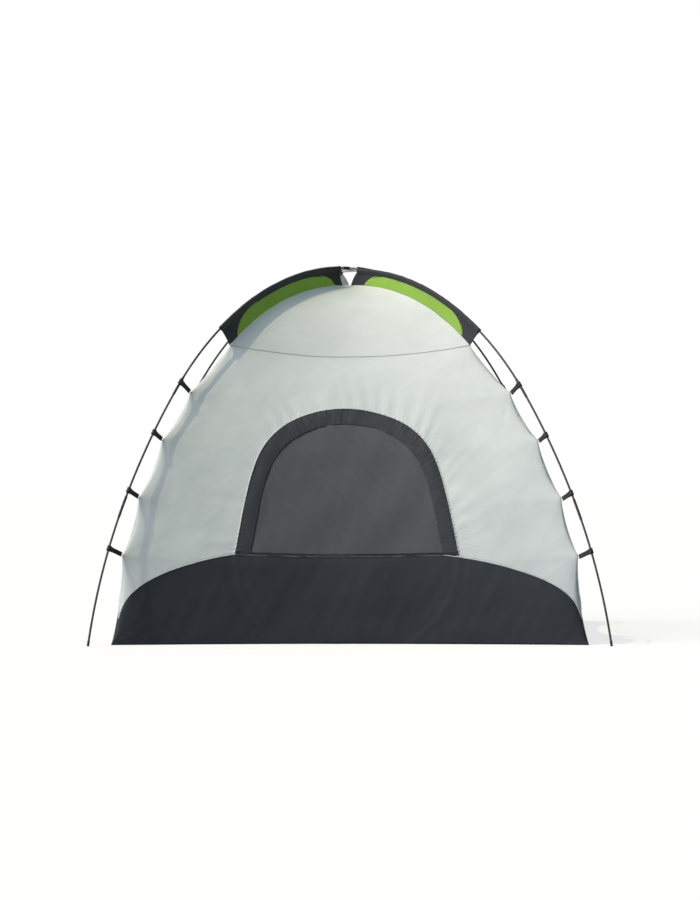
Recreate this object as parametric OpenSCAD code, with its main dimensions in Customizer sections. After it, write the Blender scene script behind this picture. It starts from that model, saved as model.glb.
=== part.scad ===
// Dome tent on two crossed bowed poles: pole sections, sleeves on top fins,
// web loops, cloth panels, window, door and groundsheet. Millimetres.
// The front is -Y, +Z is up and the origin is the middle of the floor.

/* [Poles] */
// Length of one pole section along its curve
section_len = 633.2; // [520:1:760]
// How far the section next to the apex bends, in degrees
turn_top = 28.8; // [22:0.1:32]
// How far the second section bends, in degrees
turn_upper = 23.7; // [18:0.1:27]
// How far the third section bends, in degrees
turn_lower = 11.7; // [8:0.1:15]
// How far the section that stands on the ground bends, in degrees
turn_foot = 15; // [10:0.1:16]
// Diameter of the pole rod
rod_d = 9.5; // [7:0.1:12]
// Wall of the metal ferrule that joins two sections
ferrule_wall = 0.9; // [0.6:0.05:1.6]
// Length of a ferrule
ferrule_len = 100; // [60:1:120]
// Length of the end cap at a pole's foot
tip_len = 24; // [15:1:40]

/* [Canopy] */
// Gap from the pole to the canopy's ridge at the apex
reach_apex = 75; // [60:1:110]
// The same gap where the fin ends
reach_fin = 90; // [70:1:120]
// The same gap at the top web loop
reach_1 = 68; // [50:0.5:100]
// The same gap at the second web loop
reach_2 = 55; // [45:0.5:100]
// The same gap at the third web loop
reach_3 = 62.5; // [45:0.5:100]
// The same gap at the lowest web loop
reach_4 = 78.5; // [55:0.5:110]
// The same gap at the floor
reach_foot = 127.5; // [100:0.5:160]
// How far a side is drawn in at the middle of its floor edge
hollow_floor = 90; // [40:1:120]
// How far a side is drawn in at mid height, over the amount at the floor
hollow_mid = 80; // [30:1:100]
// How far the ridge is drawn in between two web loops
scallop = 19; // [5:1:30]
// The same between the lowest loop and the floor
scallop_foot = 31; // [10:1:45]
// Thickness of a cloth panel
cloth = 2; // [1.6:0.1:3]

/* [Fins and loops] */
// Where the fin ends, as a part of the leg's length
fin_end = 0.355; // [0.3:0.005:0.42]
// Bore of the sleeve that the pole runs through
sleeve_bore = 16; // [14.6:0.1:24]
// How far under the pole the green inset's edge runs
fin_band = 18; // [17:0.5:30]
// Width of the webbing
web_w = 20; // [12:1:30]
// Thickness of the webbing
web_t = 1.6; // [1.2:0.1:3]

/* [Tub] */
// How far the tub's top edge rises up the wall from its corners
tub_rise = 390; // [330:5:430]
// How far the tub rises on the door side
sill_rise = 95; // [70:1:130]
// How far up the leg from its end the tub's corners are
tub_corner = 128; // [90:1:170]

/* [Window] */
// Width of the window with its border
window_w = 989; // [760:1:1080]
// Height of the window with its border, along the cloth
window_h = 802; // [600:2:860]
// Width of the window's border
border_w = 70; // [45:1:95]
// How far the window sits to the left of the middle
window_shift = 14; // [0:1:30]
// How much narrower the window's sides would be at its top than at its foot, as a part of the width
window_taper = 0.257; // [0:0.01:0.3]
// How far down the leg the window's lower edge is
window_sill = 2062; // [2040:1:2068]
// How far the inner flap hangs inside the mesh
flap_gap = 14; // [12:1:30]

/* [Door] */
// Width of the door
door_w = 1100; // [800:5:1200]
// Height of the door along the cloth
door_h = 1120; // [800:5:1200]
// Width of the door's zip
zip_w = 9; // [6:0.5:14]
// How far a slider can travel on the straight run of its zip
slider_travel = 120; // [60:5:140]

/* [Hidden] */
// Steps in a full turn: of a round section, and of the wide curve that it follows
round_fn = 48;
curve_fn = 720;
$fn = round_fn;

// Running fit between a rod and its ferrule, on the radius
fit = 0.05;
// Clearance between two pieces of cloth
seam_gap = 1.5;
// Clearance between neighbouring sides where they meet at a ridge
ridge_gap = 0.6;
// Clearance between a fin and what it is sewn to
fin_gap = 0.6;

rod_r = rod_d / 2;
tip_r = rod_r + fit + 0.7;
sleeve_r = sleeve_bore / 2;
sleeve_out = sleeve_r + 1.6;
leg_len = 4 * section_len;
size_ratio = leg_len / 2532.8;
// How near to a ridge its dips between the loops stay: a higher power keeps them nearer
dip_near = 20;

// The pole as four arcs in the upright plane of a leg, distance out and height
turns = [turn_top, turn_upper, turn_lower, turn_foot];
function heading(k) = k == 0 ? 0 : heading(k - 1) + turns[k - 1];
function arc_r(k) = section_len / (turns[k] * PI / 180);
function ray(a) = [sin(a), cos(a)];
function joint(k) = k == 0 ? [0, 0] : joint(k - 1) + arc_r(k - 1) * (ray(heading(k)) - ray(heading(k - 1)));
joints = [for (k = [0:4]) joint(k)];
headings = [for (k = [0:4]) heading(k)];
foot_z = tip_r * cos(headings[4]);
apex_z = foot_z - joints[4][1];
centres = [for (k = [0:3]) joints[k] + [0, apex_z] - arc_r(k) * ray(headings[k])];

// A ferrule bends halfway between the two sections it joins, and its bore leaves room for both
function bend(k) = 1 / arc_r(k);
ferrule_slack = fit + pow(ferrule_len / 2, 2) / 4 * max([for (k = [0:2]) abs(bend(k) - bend(k + 1))]);
ferrule_bore = rod_r + ferrule_slack;
ferrule_r = ferrule_bore + ferrule_wall;
pole_lift = ferrule_r + 0.15;

function arc_at(s) = min(3, floor(s / section_len));
function turn_at(s) = let (k = arc_at(s)) headings[k] + turns[k] * (s / section_len - k);
function pole_at(s) = let (k = arc_at(s)) centres[k] + arc_r(k) * ray(turn_at(s));

// Places along a leg: the fin's end, the four loops and the floor
stations = [fin_end, 0.4915, 0.601, 0.718, 0.828, 0.9902] * leg_len;
reaches = [reach_fin, reach_1, reach_2, reach_3, reach_4, reach_foot];
scallops = [scallop, scallop, scallop, scallop, scallop_foot];

function span(s) = max([for (k = [0:4]) s >= stations[k] ? k : 0]);
function along(s) = let (k = span(s)) (s - stations[k]) / (stations[k + 1] - stations[k]);
function reach(s) = s < stations[0]
    ? reach_apex + (reach_fin - reach_apex) * pow(s / stations[0], 3)
    : reaches[span(s)] + (reaches[span(s) + 1] - reaches[span(s)]) * along(s);
function dip(s) = s < stations[0] ? 0
    : let (t = min(1, along(s))) scallops[span(s)] * 4 * t * (1 - t);
function hollow(s) = let (v = s / stations[5])
    hollow_floor * size_ratio * v * v + 4 * hollow_mid * size_ratio * v * (1 - v);

// Half the width of a side at a place along the leg
function half_w(s, u = 0) =
    (pole_at(s)[0] - (reach(s) + dip(s) * pow(abs(u), dip_near)) * sin(turn_at(s))) / sqrt(2);

// A point of the front side: u runs from ridge to ridge, s from the apex down, deep is how far in
// it lies under the outer face, and flat is 2 for a hollow side and 6 for one that is flat in the middle
function skin(u, s, deep = 0, flat = 2) =
    let (a = turn_at(s), w = half_w(s, u), h = hollow(s) * (1 - pow(abs(u), flat)))
    [u * (w - ridge_gap - deep * sin(a)),
     -w + (h + deep) * sin(a),
     pole_at(s)[1] - (reach(s) + dip(s) * pow(abs(u), dip_near) + h + deep) * cos(a)];

// Where the front side reaches a height, found by halving
function down_to(u, z, flat, lo, hi, n = 24) = n == 0 ? (lo + hi) / 2
    : let (mid = (lo + hi) / 2)
      skin(u, mid, 0, flat)[2] > z ? down_to(u, z, flat, mid, hi, n - 1) : down_to(u, z, flat, lo, mid, n - 1);
function floor_s(u, flat) = down_to(u, 0, flat, stations[4], leg_len);

// The seam between roof and wall runs from ridge to ridge and rises a little on its way
seam_s = stations[0];
seam_rise = 24 * size_ratio;
function seam_at(u) = seam_s - seam_rise * (1 - u * u);
sill_front = window_sill * size_ratio;
sill_back = leg_len - tub_corner - sill_rise * 0.83;
function tub_s(u, rise, sill) = max(leg_len - tub_corner - rise * sqrt(max(0, 1 - u * u)), sill);

// Columns across a side: close together near the ridges, and even between the feet of the opening,
// which are given as how far the left and the right one stand from the middle
edge_cols = 6;
mid_cols = 12;
function side_u(i, feet) = let (n = 2 * edge_cols + mid_cols)
    i <= edge_cols ? -1 + (1 - feet[0]) * pow(i / edge_cols, 2)
    : i >= n - edge_cols ? 1 - (1 - feet[1]) * pow((n - i) / edge_cols, 2)
    : -feet[0] + (feet[0] + feet[1]) * (i - edge_cols) / mid_cols;
side_cols = [0:2 * edge_cols + mid_cols];

// The arch outline of the window and door: a is 180 at its left foot, 90 at the top and 0 at its right
// foot. A form is the outline's two powers, how far its sides lean in and how far its top leans left.
// The columns are even up the legs, and the middle ones lead to those of the seam above
round_form = [2.2, 2.3, 0, 0];
window_form = [1.9, 5.07, window_taper, 4];
leg_cols = 7;
top_cols = 2 * edge_cols + mid_cols;
last_col = 2 * leg_cols + top_cols;
function leg_angle(t, form) = asin(pow(t * pow(sin(55), 2 / form[1]), form[1] / 2));
function arch_cols(feet, form = round_form) = [for (i = [0:last_col])
    i < leg_cols ? 180 - leg_angle(i / leg_cols, form)
    : i > leg_cols + top_cols ? leg_angle((last_col - i) / leg_cols, form)
    : 90 - 35 * side_u(i - leg_cols, feet)];
function arch(a, w, h, shift, sill, form = round_form) = let (rise = pow(max(0, sin(a)), 2 / form[1]))
    [-shift - form[3] * rise + w * (1 - form[2] * rise) * sign(cos(a)) * pow(abs(cos(a)), 2 / form[0]),
     sill - h * rise];
function to_u(p) = [p[0] / half_w(p[1]), p[1]];

window_feet = [window_w / 2 + window_shift, window_w / 2 - window_shift] / half_w(sill_front);
door_feet = [1, 1] * door_w / 2 / half_w(sill_back);

// A closed sheet between two grids of points, the first outside
module sheet(outer, inner) {
    m = len(outer) - 1;
    n = len(outer[0]) - 1;
    q = (m + 1) * (n + 1);
    function p(j, i) = j * (n + 1) + i;
    faces = concat(
        [for (j = [0:m - 1], i = [0:n - 1]) each [
            [p(j, i), p(j, i + 1), p(j + 1, i + 1)], [p(j, i), p(j + 1, i + 1), p(j + 1, i)],
            [q + p(j, i), q + p(j + 1, i + 1), q + p(j, i + 1)],
            [q + p(j, i), q + p(j + 1, i), q + p(j + 1, i + 1)]]],
        [for (i = [0:n - 1]) each [
            [p(0, i + 1), p(0, i), q + p(0, i)], [p(0, i + 1), q + p(0, i), q + p(0, i + 1)],
            [p(m, i), p(m, i + 1), q + p(m, i + 1)], [p(m, i), q + p(m, i + 1), q + p(m, i)]]],
        [for (j = [0:m - 1]) each [
            [p(j, 0), p(j + 1, 0), q + p(j + 1, 0)], [p(j, 0), q + p(j + 1, 0), q + p(j, 0)],
            [p(j + 1, n), p(j, n), q + p(j, n)], [p(j + 1, n), q + p(j, n), q + p(j + 1, n)]]]
    );
    polyhedron(points = [for (g = [outer, inner], row = g, v = row) v], faces = faces, convexity = 6);
}

// A sheet from a grid of [u, s] places on the front side
module panel(places, flat = 2, deep = 0, thick = cloth) {
    sheet([for (row = places) [for (p = row) skin(p[0], p[1], deep, flat)]],
          [for (row = places) [for (p = row) skin(p[0], p[1], deep + thick, flat)]]);
}

module side(k) rotate([0, 0, 90 * k]) children();

// ---- Poles -------------------------------------------------------------

// Draws in the upright plane of a leg: fl is leg 0, then fr, br and bl
module leg(k, lift = 0) translate([0, 0, lift]) rotate([90, 0, 225 + 90 * k]) children();

// A piece of the pole's curve, from s0 to s1 within one section, as a rod or a tube
module pole_arc(s0, s1, r_out, r_in = 0) {
    k = arc_at((s0 + s1) / 2);
    a0 = headings[k] + turns[k] * (s0 / section_len - k);
    a1 = headings[k] + turns[k] * (s1 / section_len - k);
    translate([centres[k][0], centres[k][1], 0])
        rotate([0, 0, 90 - a1])
            rotate_extrude(angle = a1 - a0, $fn = curve_fn)
                translate([arc_r(k), 0])
                    difference() {
                        circle(r = r_out, $fn = round_fn);
                        if (r_in > 0) circle(r = r_in, $fn = round_fn);
                    }
}

// The higher pole needs a longer foot section to reach the same ground
function foot_s(lift) = let (a = acos((foot_z - lift - centres[3][1]) / arc_r(3)))
    section_len * (3 + (a - headings[3]) / turn_foot);
function lift_of(p) = p == "a" ? pole_lift : -pole_lift;
function leg_of(p, k) = (p == "a" ? 0 : 1) + (k > 4 ? 2 : 0);

// Section 1 stands on the ground at the front, 4 and 5 meet over the apex and 8 stands at the back
module pole_section(p, k) {
    n = k > 4 ? k - 5 : 4 - k;
    color("dimgray")
        leg(leg_of(p, k), lift_of(p))
            pole_arc(n * section_len + 0.4, n == 3 ? foot_s(lift_of(p)) - 3 : (n + 1) * section_len - 0.4, rod_r);
}

// A short straight collar round the pole, over the place where two arcs meet
module collar(s, long, r_out, r_in)
    translate(pole_at(s))
        rotate([0, 0, -turn_at(s)])
            rotate([0, 90, 0])
                difference() {
                    cylinder(r = r_out, h = long, center = true);
                    cylinder(r = r_in, h = long + 2, center = true);
                }

module ferrule(n) {
    r = n == 0 ? arc_r(0) : 2 / (bend(n - 1) + bend(n));
    half = ferrule_len / 2 / r * 180 / PI;
    at = pole_at(n * section_len) - r * ray(headings[n]);
    translate([at[0], at[1], 0])
        rotate([0, 0, 90 - headings[n] - half])
            rotate_extrude(angle = 2 * half, $fn = curve_fn)
                translate([r, 0])
                    difference() {
                        circle(r = ferrule_r, $fn = round_fn);
                        circle(r = ferrule_bore, $fn = round_fn);
                    }
}

module ferrules(p) {
    color("silver") {
        for (k = [1, 8], n = [1:3]) leg(leg_of(p, k), lift_of(p)) ferrule(n);
        leg(leg_of(p, 1), lift_of(p)) ferrule(0);
    }
}

module pole_tips() {
    color("black")
        for (k = [0:3]) {
            lift = k % 2 == 0 ? pole_lift : -pole_lift;
            end = foot_s(lift);
            leg(k, lift)
                difference() {
                    pole_arc(end - tip_len, end, tip_r);
                    pole_arc(end - tip_len - 1, end - 2.5, rod_r + fit);
                }
        }
}

module apex_band() {
    color("black")
        leg(0, pole_lift)
            pole_arc(ferrule_r + 2, ferrule_len / 2 - 4, ferrule_r + 1.8, ferrule_r + 0.2);
}

// ---- Fins, sleeves and loops -------------------------------------------

function lift_at(k) = k % 2 == 0 ? pole_lift : -pole_lift;
function under_pole(s, d, lift = 0) = pole_at(s) - d * ray(turn_at(s)) + [0, lift];
function ridge_side(s) = reach(s) - fin_gap;

// The sleeve on the front left leg starts a little further from the apex
fin_start = [66, 52, 52, 52];
fin_top = sleeve_out + fin_gap;

// The green inset is a lens between the ridge and the black band along the pole
inset_from = 100;
inset_to = 0.922 * stations[0];
function band_at(s) = let (t = (s - inset_from) / (inset_to - inset_from))
    fin_band + (ridge_side(s) - fin_band) * pow(abs(2 * t - 1), 6);

module inset_shape(over = 0) {
    s = [for (i = [0:30]) inset_from + (inset_to - inset_from) * i / 30];
    polygon(concat(
        [for (i = [0:30]) under_pole(s[i], band_at(s[i]))],
        [for (i = [29:-1:1]) under_pole(s[i], ridge_side(s[i]) + over)]));
}

// The inner end of a fin runs down to the apex: nearly upright on leg 0 and in a hollow curve on the rest
function fin_end_at(k, t) =
    let (from = under_pole(fin_start[k], fin_top, lift_at(k)), e = k == 0 ? 50 : 7, to = under_pole(e, ridge_side(e)),
         bow = k == 0 ? pow(t, 3) : t + 0.12 * sin(180 * t))
    [from[0] + (to[0] - from[0]) * bow, from[1] + (to[1] - from[1]) * t];

module fin_outline(k) {
    n = 24;
    s = [for (i = [0:n]) fin_start[k] + (stations[0] - fin_start[k]) * i / n];
    low = k == 0 ? 50 : 7;
    b = [for (i = [0:n]) low + (stations[0] - low) * i / n];
    polygon(concat(
        [for (i = [0:n]) under_pole(s[i], fin_top, lift_at(k))],
        [for (i = [n:-1:0]) under_pole(b[i], ridge_side(b[i]))],
        [for (i = [5:-1:1]) fin_end_at(k, i / 6)]));
}

module fin(k) {
    color("black")
        leg(k)
            linear_extrude(cloth, center = true)
                difference() {
                    fin_outline(k);
                    inset_shape(12);
                }
}

module inset(k) {
    color("yellowgreen")
        leg(k)
            linear_extrude(cloth, center = true)
                offset(delta = -0.5) inset_shape();
}

module sleeve(k) {
    color("black")
        leg(k, lift_at(k)) {
            pole_arc(fin_start[k], section_len - 1, sleeve_out, sleeve_r);
            collar(section_len, 12, sleeve_out + 0.5, sleeve_r + 0.6);
            pole_arc(section_len + 1, stations[0], sleeve_out, sleeve_r);
        }
}

// Four loops of webbing round the pole, each with a tail to the ridge
module loops(k) {
    eye = ferrule_r + 0.5;
    color("black")
        leg(k, lift_at(k))
            for (n = [1:4]) {
                s = stations[n];
                tail = reach(s) + lift_at(k) * cos(turn_at(s)) - fin_gap - eye - web_t / 2;
                translate(pole_at(s))
                    rotate([0, 0, -turn_at(s)]) {
                        rotate([0, 90, 0])
                            difference() {
                                cylinder(r = eye + web_t, h = web_w, center = true);
                                cylinder(r = eye, h = web_w + 2, center = true);
                            }
                        translate([0, -eye - web_t / 2 - tail / 2, 0])
                            cube([web_w, tail, web_t], center = true);
                    }
            }
}

// ---- Cloth panels ------------------------------------------------------

roof_rows = 10;
wall_rows = 12;
opening_rows = 6;
tub_rows = 5;

module roof(k) {
    feet = k == 2 ? door_feet : window_feet;
    color("gainsboro")
        side(k)
            panel([for (j = [0:roof_rows]) [for (i = side_cols) let (u = side_u(i, feet))
                [u, 4 + (seam_at(u) - seam_gap / 2 - 4) * pow(j / roof_rows, 0.9)]]], k == 2 ? 6 : 2);
}

// A plain wall, on the left and right
module wall_plain(k) {
    color("gainsboro")
        side(k)
            panel([for (j = [0:wall_rows]) [for (i = side_cols)
                let (u = side_u(i, window_feet), top = seam_at(u) + seam_gap / 2,
                     low = tub_s(u, tub_rise, sill_front) - seam_gap / 2)
                [u, top + (low - top) * j / wall_rows]]]);
}

// A wall round an arch: t runs along its outer edge, up one ridge, over the seam and down the other
function wall_edge(i, low, feet) = let (top = seam_s + seam_gap / 2)
    i < leg_cols ? [-1, low + (top - low) * i / leg_cols]
    : i > leg_cols + top_cols ? [1, top + (low - top) * (i - leg_cols - top_cols) / leg_cols]
    : let (u = side_u(i - leg_cols, feet)) [u, seam_at(u) + seam_gap / 2];

// Its two ends, from a corner to a foot of the arch, are drawn down or up to the tub's edge
module wall_with_arch(k, feet, w, h, shift, sill, rise, flat, form) {
    low = tub_s(1, rise, sill) - seam_gap / 2;
    end = sill - seam_gap / 2;
    function to_tub(q, foot) = tub_s(1 - (1 - foot) * q, rise, sill) - seam_gap / 2 - (1 - q) * low - q * end;
    function near_end(i) = pow(max(0, 1 - i / leg_cols), 2);
    ring = [for (a = arch_cols(feet, form)) to_u(arch(a, w / 2, h, shift, end, form))];
    color("gainsboro")
        side(k)
            panel([for (j = [0:opening_rows]) let (q = pow(j / opening_rows, 2))
                [for (i = [0:last_col])
                    (1 - q) * wall_edge(i, low, feet) + q * ring[i]
                    + [0, near_end(i) * to_tub(q, feet[0]) + near_end(last_col - i) * to_tub(q, feet[1])]]],
                flat);
}

module wall_front()
    wall_with_arch(0, window_feet, window_w, window_h, window_shift, sill_front, tub_rise, 2, window_form);
module wall_back() wall_with_arch(2, door_feet, door_w, door_h, 0, sill_back, sill_rise, 6, round_form);

module tub(k) {
    rise = k == 2 ? sill_rise : tub_rise;
    sill = k == 2 ? sill_back : sill_front;
    feet = k == 2 ? door_feet : window_feet;
    flat = k == 2 ? 6 : 2;
    color("darkslategray")
        side(k)
            panel([for (j = [0:tub_rows]) [for (i = side_cols)
                let (u = side_u(i, feet), top = tub_s(u, rise, sill) + seam_gap / 2)
                [u, top + (floor_s(u, flat) - top) * j / tub_rows]]], flat);
}

// The floor lies inside the tub's lower edge
module groundsheet() {
    function inside(k, i) = let (flat = k == 2 ? 6 : 2, u = side_u(i, [0.5, 0.5]) * 0.999,
        p = skin(u, floor_s(u, flat), cloth + 1.4, flat)) rot(k, p);
    function rot(k, p) = [p[0] * cos(90 * k) - p[1] * sin(90 * k), p[0] * sin(90 * k) + p[1] * cos(90 * k)];
    color("darkslategray")
        linear_extrude(cloth)
            polygon([for (k = [0:3], i = side_cols) inside(k, i)]);
}

// ---- Openings ----------------------------------------------------------

// A band that follows the arch between two outlines
module arch_band(w0, h0, w1, h1, shift, sill, feet, flat, form = round_form) {
    panel([for (o = [[w0, h0], [w1, h1]])
        [for (a = arch_cols(feet, form)) to_u(arch(a, o[0] / 2, o[1], shift, sill, form))]], flat);
}

// A sheet that fills the arch, in rows from its top to the sill
fill_cols = 10;
function arch_rows(feet, form) = concat([89], [for (i = [last_col / 2 + 1:last_col]) arch_cols(feet, form)[i]]);
function fill(w, h, shift, sill, feet, form = round_form) = [for (a = arch_rows(feet, form))
    let (top = arch(a, w / 2, h, 0, sill, form), lean = form[3] * (sill - top[1]) / h)
    [for (i = [0:fill_cols]) [(2 * i / fill_cols - 1) * (top[0] + lean) - shift - lean, top[1]]]];

module window_border() {
    edge = seam_gap;
    color("dimgray")
        arch_band(window_w - edge, window_h - edge, window_w - 2 * border_w, window_h - 1.35 * border_w,
                  window_shift, sill_front - seam_gap, window_feet, 2, window_form);
}

module window_mesh() {
    w = window_w - 2 * border_w - 2;
    h = window_h - 1.35 * border_w - 1;
    rows = fill(w, h, window_shift, sill_front - seam_gap, window_feet, window_form);
    color("gray")
        panel([for (row = rows) [for (p = row) to_u(p)]]);
}

// The flap hangs straight across behind the mesh, so that its lower edge can turn about one line
function flap_at(x, s, deep) = let (p = skin(0, s, deep)) [x, p[1], p[2]];
flap_w = window_w - 2 * border_w + 40;
flap_h = window_h - 1.35 * border_w + 20;
flap_sill = sill_front - 6;

module flap_sheet(grid, thick) sheet(
    [for (row = grid) [for (p = row) flap_at(p[0], p[1], flap_gap)]],
    [for (row = grid) [for (p = row) flap_at(p[0], p[1], flap_gap + thick)]]);

module window_flap() {
    color("slategray")
        flap_sheet(fill(flap_w, flap_h, window_shift, flap_sill, window_feet), cloth);
}

module window_zip() {
    w = flap_w + 3;
    h = flap_h + 1.5;
    color("black")
        flap_sheet([for (o = [[w + 2 * zip_w, h + zip_w], [w, h]])
            [for (a = arch_cols(window_feet)) arch(a, o[0] / 2, o[1], window_shift, flap_sill)]], cloth);
}

module door_panel() {
    w = door_w - 2 * zip_w - 6;
    h = door_h - zip_w - 3;
    color("gainsboro")
        side(2)
            panel([for (row = fill(w, h, 0, sill_back - seam_gap, door_feet)) [for (p = row) to_u(p)]], 6);
}

module door_zip() {
    edge = seam_gap;
    w = door_w - 2 * zip_w - 3;
    h = door_h - zip_w - 1.5;
    color("black")
        side(2)
            arch_band(door_w - edge, door_h - edge / 2, w, h, 0, sill_back - seam_gap, door_feet, 6);
}

// ---- Sliders -----------------------------------------------------------

function unit(v) = v / norm(v);
// How far the slider's straight way cuts under a zip that follows the lowest arc
function sagitta() = slider_travel * slider_travel / (8 * arc_r(3));

// The two ends of each slider's way, and the direction that it faces
zip_x = (door_w - zip_w - 2) / 2;
function door_way(s) = let (p = to_u([zip_x, s])) skin(p[0], s, -0.6 - sagitta(), 6);
flap_zip_x = (flap_w + 3 + zip_w) / 2;
function flap_way(s) = flap_at(flap_zip_x - window_shift, s, flap_gap + cloth + 0.6);
door_way_ends = [door_way(sill_back - 22), door_way(sill_back - 22 - slider_travel)];
flap_way_ends = [flap_way(flap_sill - 22), flap_way(flap_sill - 22 - slider_travel)];

// Stands its children on a point, x along the way and z out of the cloth
module on_way(ends, out) {
    x = unit(ends[1] - ends[0]);
    y = unit(cross(out, x));
    z = cross(x, y);
    o = ends[0];
    multmatrix([[x[0], y[0], z[0], o[0]], [x[1], y[1], z[1], o[1]], [x[2], y[2], z[2], o[2]]]) children();
}

pin_r = 0.9;
pin_up = 5.6;

module slider_shape() {
    translate([-8, -4.5, 0]) cube([16, 9, 3]);
    for (y = [-4.2, 2.7]) translate([-2.5, y, 2.5]) cube([5, 1.5, 5]);
    translate([0, 0, pin_up]) rotate([90, 0, 0]) cylinder(r = pin_r, h = 6, center = true);
}

module pull_shape() {
    difference() {
        union() {
            translate([0, 0, pin_up]) rotate([90, 0, 0]) cylinder(r = 2, h = 5, center = true);
            translate([-30, -2.5, pin_up - 0.7]) cube([29, 5, 1.4]);
        }
        translate([0, 0, pin_up]) rotate([90, 0, 0]) cylinder(r = pin_r + 0.15, h = 6, center = true);
    }
}

module door_slider() color("silver") side(2) on_way(door_way_ends, [0, -1, 0.2]) slider_shape();
module door_pull() color("silver") side(2) on_way(door_way_ends, [0, -1, 0.2]) pull_shape();
module window_slider() color("silver") on_way(flap_way_ends, [0, 1, -0.2]) slider_shape();
module window_pull() color("silver") on_way(flap_way_ends, [0, 1, -0.2]) pull_shape();

// ---- Nodes -------------------------------------------------------------

for (p = ["a", "b"], k = [1:8])
    pole_section(p, k);
for (p = ["a", "b"])
    ferrules(p);
pole_tips();
apex_band();
corners = ["fl", "fr", "br", "bl"];
for (k = [0:3]) {
    fin(k);
    inset(k);
    sleeve(k);
    loops(k);
}
sides = ["front", "right", "back", "left"];
for (k = [0:3]) {
    roof(k);
    tub(k);
}
wall_front();
wall_back();
wall_plain(1);  // wall_right
wall_plain(3);  // wall_left
groundsheet();
window_border();
window_mesh();
window_flap();
window_zip();
window_slider();
window_pull();
door_panel();
door_zip();
door_slider();
door_pull();
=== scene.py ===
import math
import bpy
import numpy as np
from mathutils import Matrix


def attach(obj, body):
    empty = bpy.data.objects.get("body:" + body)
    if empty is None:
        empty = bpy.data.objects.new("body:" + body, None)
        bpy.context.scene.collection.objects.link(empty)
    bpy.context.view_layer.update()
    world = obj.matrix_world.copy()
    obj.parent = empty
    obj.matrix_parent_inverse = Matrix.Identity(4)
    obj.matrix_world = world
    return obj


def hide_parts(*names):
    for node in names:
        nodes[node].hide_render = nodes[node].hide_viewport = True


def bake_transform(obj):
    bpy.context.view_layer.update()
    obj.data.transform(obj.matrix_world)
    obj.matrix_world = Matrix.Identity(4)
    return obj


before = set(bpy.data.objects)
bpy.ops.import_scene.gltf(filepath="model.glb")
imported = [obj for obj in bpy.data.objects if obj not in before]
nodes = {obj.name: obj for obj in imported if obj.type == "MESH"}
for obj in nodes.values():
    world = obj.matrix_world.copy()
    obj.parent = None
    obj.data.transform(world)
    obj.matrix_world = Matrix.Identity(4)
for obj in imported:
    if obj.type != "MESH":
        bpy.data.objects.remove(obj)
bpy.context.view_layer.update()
print("frame loaded:", len(nodes), "CAD nodes")

studio = {
    "cameraDistance": 15.67,       # metres from the middle of the tent, looking along +Y
    "cameraHeight": 0.856,
    "lens": 133.4,
    "lights": {                    # direction the light travels, strength, colour, spread in degrees
        "sun": ((0.45, 0.10, -0.887), 1.5, (1.0, 0.84, 0.50), 0.6),
        "leftFill": ((0.75, 0.45, -0.48), 2.48, (0.95, 0.92, 1.0), 60),
        "backFill": ((-0.50, -0.75, -0.43), 0.9, (0.95, 0.95, 1.0), 60),
    },
    "skyColour": (0.50, 0.90, 1.0),
    "skyStrength": 0.17,
    "floorColour": (0.30, 0.30, 0.30),
    "floorGlow": 0.72,
}

scene = bpy.context.scene
scene.view_settings.view_transform = "Standard"

cameraData = bpy.data.cameras.new("camera")
cameraData.lens = studio["lens"]
cameraData.sensor_width = 36
camera = bpy.data.objects.new("camera", cameraData)
camera.location = (0, -studio["cameraDistance"], studio["cameraHeight"])
camera.rotation_euler = (math.pi / 2, 0, 0)
scene.collection.objects.link(camera)
scene.camera = camera

for name, ((dx, dy, dz), strength, colour, spread) in studio["lights"].items():
    lightData = bpy.data.lights.new(name, "SUN")
    lightData.energy = strength
    lightData.color = colour
    lightData.angle = math.radians(spread)
    light = bpy.data.objects.new(name, lightData)
    light.rotation_euler = (math.atan2(math.hypot(dx, dy), -dz), 0, math.atan2(-dx, dy))
    scene.collection.objects.link(light)

world = bpy.data.worlds.new("sky")
scene.world = world
world.use_nodes = True
wt = world.node_tree
wt.nodes.clear()
seen = wt.nodes.new("ShaderNodeBackground")
seen.inputs["Color"].default_value = (1, 1, 1, 1)
lit = wt.nodes.new("ShaderNodeBackground")
lit.inputs["Color"].default_value = (*studio["skyColour"], 1)
lit.inputs["Strength"].default_value = studio["skyStrength"]
path = wt.nodes.new("ShaderNodeLightPath")
pick = wt.nodes.new("ShaderNodeMixShader")
out = wt.nodes.new("ShaderNodeOutputWorld")
wt.links.new(path.outputs["Is Camera Ray"], pick.inputs[0])
wt.links.new(lit.outputs[0], pick.inputs[1])
wt.links.new(seen.outputs[0], pick.inputs[2])
wt.links.new(pick.outputs[0], out.inputs[0])


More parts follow.
